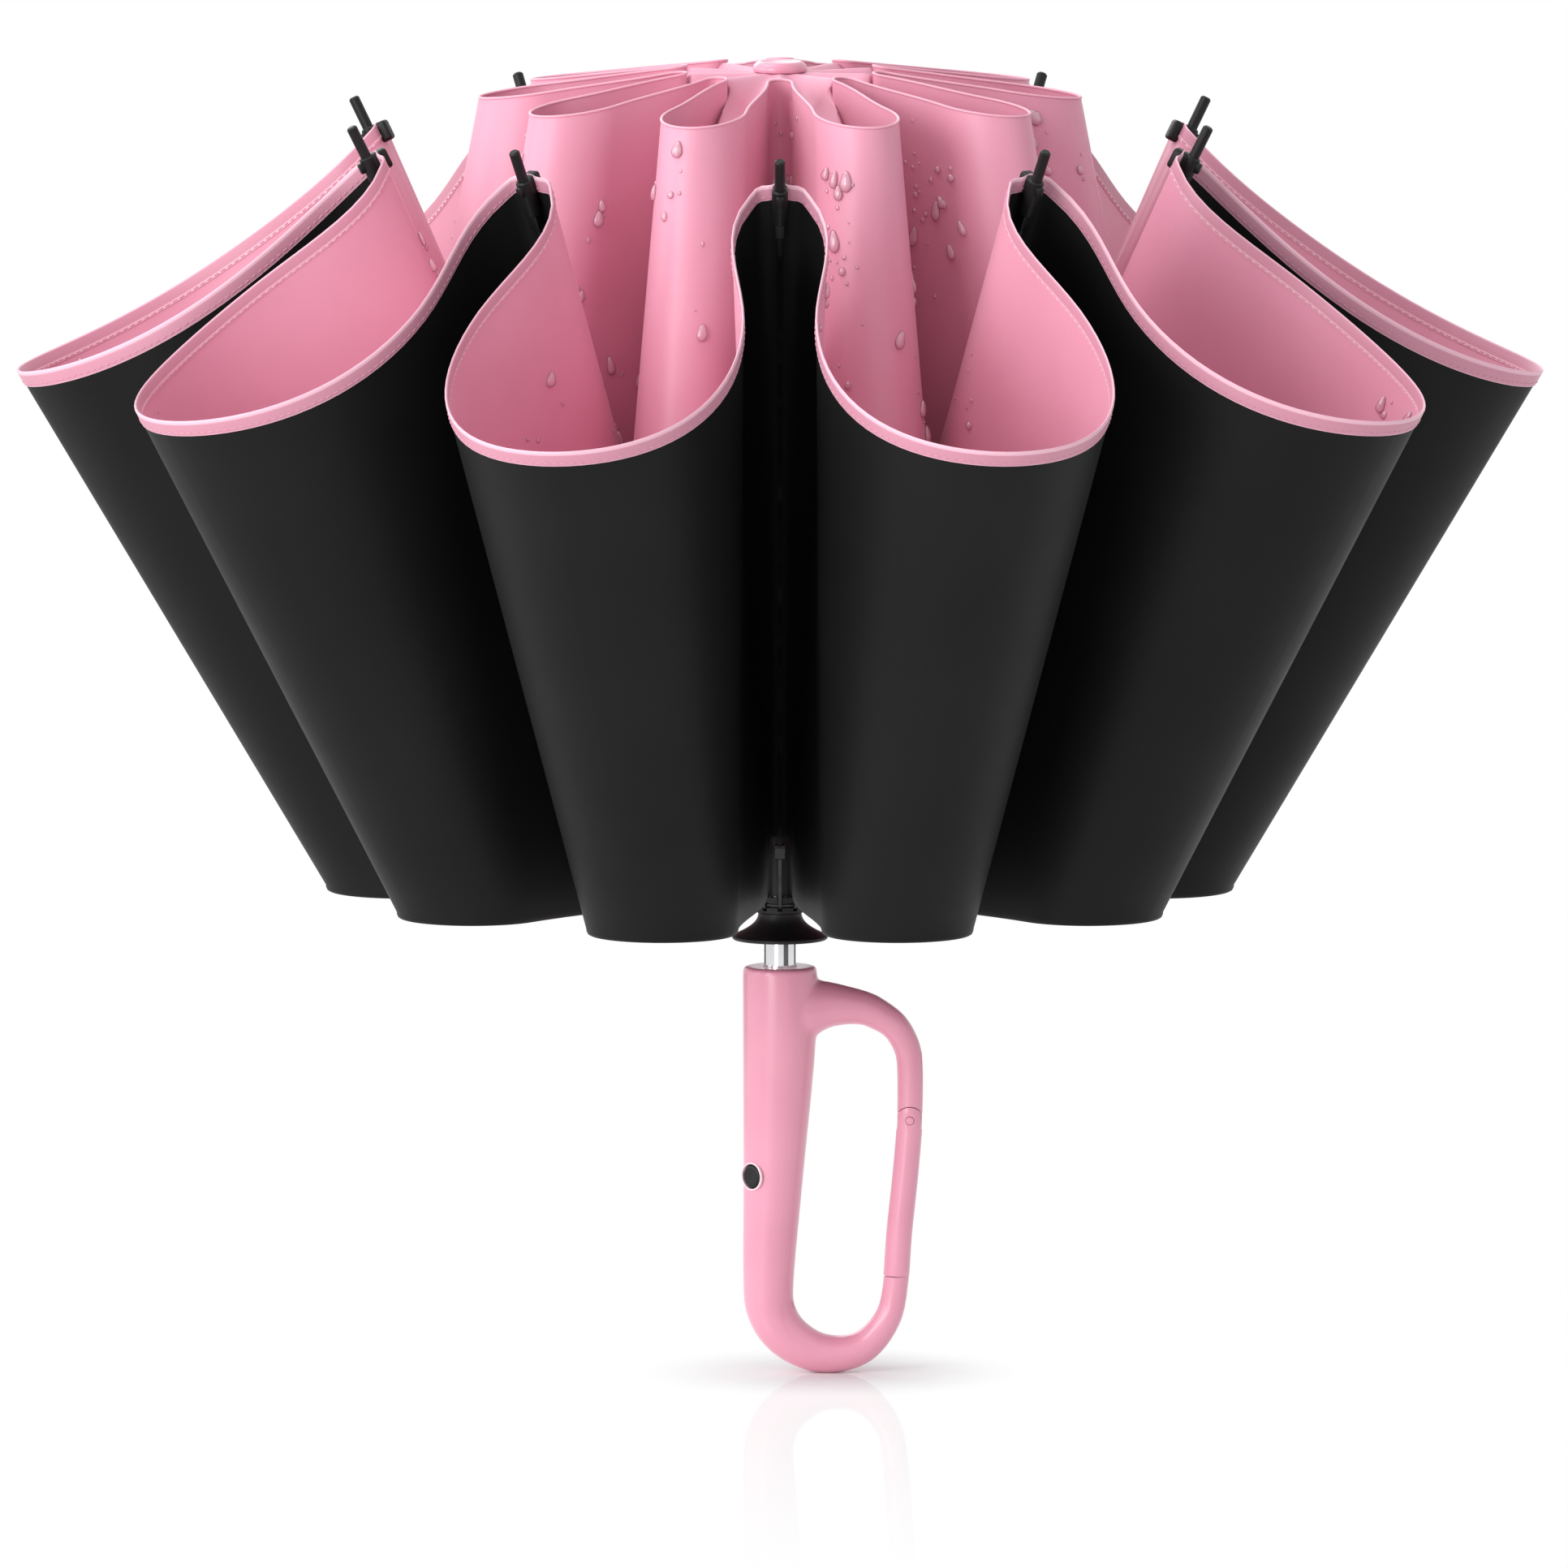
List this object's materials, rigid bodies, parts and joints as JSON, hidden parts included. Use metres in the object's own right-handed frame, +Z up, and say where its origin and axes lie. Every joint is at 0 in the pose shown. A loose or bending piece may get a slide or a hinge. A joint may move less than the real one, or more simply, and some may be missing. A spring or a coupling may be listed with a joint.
{
  "type": "inverted folding umbrella",
  "caption": "Half-folded inverted umbrella: lobed two-tone canopy, inside-out ribs on a telescoping shaft, and a handle with a carabiner loop.",
  "frame": {"origin": "on the shaft's axis, level with the lowest point of the handle, where the hand's hold is given", "axes": "+Z up the shaft, +X towards the handle's loop, -Y towards the front rib"},
  "size_m": [0.5638, 0.542, 0.4883],
  "materials": {
    "pink_plastic": "semi-gloss moulded pink",
    "dark_plastic": "black moulded nylon",
    "pink_cloth": "pink water-repellent satin weave",
    "black_cloth": "black coated lining, pink on the other side",
    "black_steel": "black lacquered steel",
    "spring_steel": "bright drawn wire",
    "chrome": "plated tube"
  },
  "bodies": {
    "handle": {"handle_grip": "pink_plastic", "gate_pin": "pink_plastic", "lower_tube": "chrome", "main_spring": "spring_steel", "button_spring": "spring_steel"},
    "gate": {"carabiner_gate": "pink_plastic", "gate_leaf_spring": "spring_steel"},
    "button": {"release_button": "dark_plastic"},
    "upper_shaft": {"upper_tube": "chrome", "spring_plug": "dark_plastic", "crown": "dark_plastic", "crown_wire": "spring_steel", "top_cap": "pink_plastic", "crown_cover": "pink_cloth", "canopy": "black_cloth"},
    "runner": {"runner": "dark_plastic", "runner_wire": "spring_steel", "runner_bell": "dark_plastic"},
    "inner_rib_01": {"inner_rib_01": "black_steel"},
    "outer_rib_01": {"outer_rib_01": "black_steel", "rib_tip_01": "dark_plastic"},
    "rib_link_01": {"rib_link_01": "black_steel"},
    "inner_rib_02": {"inner_rib_02": "black_steel"},
    "outer_rib_02": {"outer_rib_02": "black_steel", "rib_tip_02": "dark_plastic"},
    "rib_link_02": {"rib_link_02": "black_steel"},
    "inner_rib_03": {"inner_rib_03": "black_steel"},
    "outer_rib_03": {"outer_rib_03": "black_steel", "rib_tip_03": "dark_plastic"},
    "rib_link_03": {"rib_link_03": "black_steel"},
    "inner_rib_04": {"inner_rib_04": "black_steel"},
    "outer_rib_04": {"outer_rib_04": "black_steel", "rib_tip_04": "dark_plastic"},
    "rib_link_04": {"rib_link_04": "black_steel"},
    "inner_rib_05": {"inner_rib_05": "black_steel"},
    "outer_rib_05": {"outer_rib_05": "black_steel", "rib_tip_05": "dark_plastic"},
    "rib_link_05": {"rib_link_05": "black_steel"},
    "inner_rib_06": {"inner_rib_06": "black_steel"},
    "outer_rib_06": {"outer_rib_06": "black_steel", "rib_tip_06": "dark_plastic"},
    "rib_link_06": {"rib_link_06": "black_steel"},
    "inner_rib_07": {"inner_rib_07": "black_steel"},
    "outer_rib_07": {"outer_rib_07": "black_steel", "rib_tip_07": "dark_plastic"},
    "rib_link_07": {"rib_link_07": "black_steel"},
    "inner_rib_08": {"inner_rib_08": "black_steel"},
    "outer_rib_08": {"outer_rib_08": "black_steel", "rib_tip_08": "dark_plastic"},
    "rib_link_08": {"rib_link_08": "black_steel"},
    "inner_rib_09": {"inner_rib_09": "black_steel"},
    "outer_rib_09": {"outer_rib_09": "black_steel", "rib_tip_09": "dark_plastic"},
    "rib_link_09": {"rib_link_09": "black_steel"},
    "inner_rib_10": {"inner_rib_10": "black_steel"},
    "outer_rib_10": {"outer_rib_10": "black_steel", "rib_tip_10": "dark_plastic"},
    "rib_link_10": {"rib_link_10": "black_steel"}
  },
  "joints": [
    {"name": "gate_hinge", "type": "hinge", "parent": "handle", "child": "gate", "pos_m": [0.048, 0, 0.09439], "axis": [0, 1, 0], "range_deg": [0, 25], "stiffness_Nm_per_rad": 0.03, "springref_deg": -11.46},
    {"name": "button_press", "type": "slide", "parent": "handle", "child": "button", "axis": [0.7193, 0.6947, 0], "range_m": [0, 0.002], "stiffness_N_per_m": 300, "springref_m": -0.001, "deforming": ["button_spring"]},
    {"name": "shaft_slide", "type": "slide", "parent": "handle", "child": "upper_shaft", "axis": [0, 0, 1], "range_m": [0, 0.3], "deforming": ["main_spring"]},
    {"name": "runner_slide", "type": "slide", "parent": "upper_shaft", "child": "runner", "axis": [0, 0, -1], "range_m": [0, 0.00454]},
    {"name": "rib_fold_01", "type": "hinge", "parent": "inner_rib_01", "child": "outer_rib_01", "pos_m": [0, -0.0231, 0.1976], "axis": [-1, 0, 0], "range_deg": [0, 24], "deforming": ["canopy"]},
    {"name": "crown_swing_01", "type": "hinge", "parent": "upper_shaft", "child": "inner_rib_01", "pos_m": [0, -0.008, 0.47], "axis": [1, 0, 0], "range_deg": [0, 1]},
    {"name": "link_swing_01", "type": "hinge", "parent": "runner", "child": "rib_link_01", "pos_m": [0, -0.0086, 0.175], "axis": [-1, 0, 0], "range_deg": [0, 8.88]},
    {"name": "rib_fold_02", "type": "hinge", "parent": "inner_rib_02", "child": "outer_rib_02", "pos_m": [0.01358, -0.01869, 0.1976], "axis": [-0.809, -0.5878, 0], "range_deg": [0, 24]},
    {"name": "crown_swing_02", "type": "hinge", "parent": "upper_shaft", "child": "inner_rib_02", "pos_m": [0.0047, -0.00647, 0.47], "axis": [0.809, 0.5878, 0], "range_deg": [0, 1]},
    {"name": "link_swing_02", "type": "hinge", "parent": "runner", "child": "rib_link_02", "pos_m": [0.00505, -0.00696, 0.175], "axis": [-0.809, -0.5878, 0], "range_deg": [0, 8.88]},
    {"name": "rib_fold_03", "type": "hinge", "parent": "inner_rib_03", "child": "outer_rib_03", "pos_m": [0.02197, -0.00714, 0.1976], "axis": [-0.309, -0.9511, 0], "range_deg": [0, 24]},
    {"name": "crown_swing_03", "type": "hinge", "parent": "upper_shaft", "child": "inner_rib_03", "pos_m": [0.00761, -0.00247, 0.47], "axis": [0.309, 0.9511, 0], "range_deg": [0, 1]},
    {"name": "link_swing_03", "type": "hinge", "parent": "runner", "child": "rib_link_03", "pos_m": [0.00818, -0.00266, 0.175], "axis": [-0.309, -0.9511, 0], "range_deg": [0, 8.88]},
    {"name": "rib_fold_04", "type": "hinge", "parent": "inner_rib_04", "child": "outer_rib_04", "pos_m": [0.02197, 0.00714, 0.1976], "axis": [0.309, -0.9511, 0], "range_deg": [0, 24]},
    {"name": "crown_swing_04", "type": "hinge", "parent": "upper_shaft", "child": "inner_rib_04", "pos_m": [0.00761, 0.00247, 0.47], "axis": [-0.309, 0.9511, 0], "range_deg": [0, 1]},
    {"name": "link_swing_04", "type": "hinge", "parent": "runner", "child": "rib_link_04", "pos_m": [0.00818, 0.00266, 0.175], "axis": [0.309, -0.9511, 0], "range_deg": [0, 8.88]},
    {"name": "rib_fold_05", "type": "hinge", "parent": "inner_rib_05", "child": "outer_rib_05", "pos_m": [0.01358, 0.01869, 0.1976], "axis": [0.809, -0.5878, 0], "range_deg": [0, 24]},
    {"name": "crown_swing_05", "type": "hinge", "parent": "upper_shaft", "child": "inner_rib_05", "pos_m": [0.0047, 0.00647, 0.47], "axis": [-0.809, 0.5878, 0], "range_deg": [0, 1]},
    {"name": "link_swing_05", "type": "hinge", "parent": "runner", "child": "rib_link_05", "pos_m": [0.00505, 0.00696, 0.175], "axis": [0.809, -0.5878, 0], "range_deg": [0, 8.88]},
    {"name": "rib_fold_06", "type": "hinge", "parent": "inner_rib_06", "child": "outer_rib_06", "pos_m": [0, 0.0231, 0.1976], "axis": [1, 0, 0], "range_deg": [0, 24]},
    {"name": "crown_swing_06", "type": "hinge", "parent": "upper_shaft", "child": "inner_rib_06", "pos_m": [0, 0.008, 0.47], "axis": [-1, 0, 0], "range_deg": [0, 1]},
    {"name": "link_swing_06", "type": "hinge", "parent": "runner", "child": "rib_link_06", "pos_m": [0, 0.0086, 0.175], "axis": [1, 0, 0], "range_deg": [0, 8.88]},
    {"name": "rib_fold_07", "type": "hinge", "parent": "inner_rib_07", "child": "outer_rib_07", "pos_m": [-0.01358, 0.01869, 0.1976], "axis": [0.809, 0.5878, 0], "range_deg": [0, 24]},
    {"name": "crown_swing_07", "type": "hinge", "parent": "upper_shaft", "child": "inner_rib_07", "pos_m": [-0.0047, 0.00647, 0.47], "axis": [-0.809, -0.5878, 0], "range_deg": [0, 1]},
    {"name": "link_swing_07", "type": "hinge", "parent": "runner", "child": "rib_link_07", "pos_m": [-0.00505, 0.00696, 0.175], "axis": [0.809, 0.5878, 0], "range_deg": [0, 8.88]},
    {"name": "rib_fold_08", "type": "hinge", "parent": "inner_rib_08", "child": "outer_rib_08", "pos_m": [-0.02197, 0.00714, 0.1976], "axis": [0.309, 0.9511, 0], "range_deg": [0, 24]},
    {"name": "crown_swing_08", "type": "hinge", "parent": "upper_shaft", "child": "inner_rib_08", "pos_m": [-0.00761, 0.00247, 0.47], "axis": [-0.309, -0.9511, 0], "range_deg": [0, 1]},
    {"name": "link_swing_08", "type": "hinge", "parent": "runner", "child": "rib_link_08", "pos_m": [-0.00818, 0.00266, 0.175], "axis": [0.309, 0.9511, 0], "range_deg": [0, 8.88]},
    {"name": "rib_fold_09", "type": "hinge", "parent": "inner_rib_09", "child": "outer_rib_09", "pos_m": [-0.02197, -0.00714, 0.1976], "axis": [-0.309, 0.9511, 0], "range_deg": [0, 24]},
    {"name": "crown_swing_09", "type": "hinge", "parent": "upper_shaft", "child": "inner_rib_09", "pos_m": [-0.00761, -0.00247, 0.47], "axis": [0.309, -0.9511, 0], "range_deg": [0, 1]},
    {"name": "link_swing_09", "type": "hinge", "parent": "runner", "child": "rib_link_09", "pos_m": [-0.00818, -0.00266, 0.175], "axis": [-0.309, 0.9511, 0], "range_deg": [0, 8.88]},
    {"name": "rib_fold_10", "type": "hinge", "parent": "inner_rib_10", "child": "outer_rib_10", "pos_m": [-0.01358, -0.01869, 0.1976], "axis": [-0.809, 0.5878, 0], "range_deg": [0, 24]},
    {"name": "crown_swing_10", "type": "hinge", "parent": "upper_shaft", "child": "inner_rib_10", "pos_m": [-0.0047, -0.00647, 0.47], "axis": [0.809, -0.5878, 0], "range_deg": [0, 1]},
    {"name": "link_swing_10", "type": "hinge", "parent": "runner", "child": "rib_link_10", "pos_m": [-0.00505, -0.00696, 0.175], "axis": [-0.809, 0.5878, 0], "range_deg": [0, 8.88]}
  ],
  "couplings": [
    {"joint": "crown_swing_01", "follows": "rib_fold_01", "ratio": 0.041667},
    {"joint": "link_swing_01", "follows": "rib_fold_01", "ratio": 0.37},
    {"joint": "rib_fold_02", "follows": "rib_fold_01", "ratio": 1},
    {"joint": "crown_swing_02", "follows": "rib_fold_01", "ratio": 0.041667},
    {"joint": "link_swing_02", "follows": "rib_fold_01", "ratio": 0.37},
    {"joint": "rib_fold_03", "follows": "rib_fold_01", "ratio": 1},
    {"joint": "crown_swing_03", "follows": "rib_fold_01", "ratio": 0.041667},
    {"joint": "link_swing_03", "follows": "rib_fold_01", "ratio": 0.37},
    {"joint": "rib_fold_04", "follows": "rib_fold_01", "ratio": 1},
    {"joint": "crown_swing_04", "follows": "rib_fold_01", "ratio": 0.041667},
    {"joint": "link_swing_04", "follows": "rib_fold_01", "ratio": 0.37},
    {"joint": "rib_fold_05", "follows": "rib_fold_01", "ratio": 1},
    {"joint": "crown_swing_05", "follows": "rib_fold_01", "ratio": 0.041667},
    {"joint": "link_swing_05", "follows": "rib_fold_01", "ratio": 0.37},
    {"joint": "rib_fold_06", "follows": "rib_fold_01", "ratio": 1},
    {"joint": "crown_swing_06", "follows": "rib_fold_01", "ratio": 0.041667},
    {"joint": "link_swing_06", "follows": "rib_fold_01", "ratio": 0.37},
    {"joint": "rib_fold_07", "follows": "rib_fold_01", "ratio": 1},
    {"joint": "crown_swing_07", "follows": "rib_fold_01", "ratio": 0.041667},
    {"joint": "link_swing_07", "follows": "rib_fold_01", "ratio": 0.37},
    {"joint": "rib_fold_08", "follows": "rib_fold_01", "ratio": 1},
    {"joint": "crown_swing_08", "follows": "rib_fold_01", "ratio": 0.041667},
    {"joint": "link_swing_08", "follows": "rib_fold_01", "ratio": 0.37},
    {"joint": "rib_fold_09", "follows": "rib_fold_01", "ratio": 1},
    {"joint": "crown_swing_09", "follows": "rib_fold_01", "ratio": 0.041667},
    {"joint": "link_swing_09", "follows": "rib_fold_01", "ratio": 0.37},
    {"joint": "rib_fold_10", "follows": "rib_fold_01", "ratio": 1},
    {"joint": "crown_swing_10", "follows": "rib_fold_01", "ratio": 0.041667},
    {"joint": "link_swing_10", "follows": "rib_fold_01", "ratio": 0.37},
    {"joint": "runner_slide", "follows": "rib_fold_01", "m_per_rad": 0.010838}
  ]
}
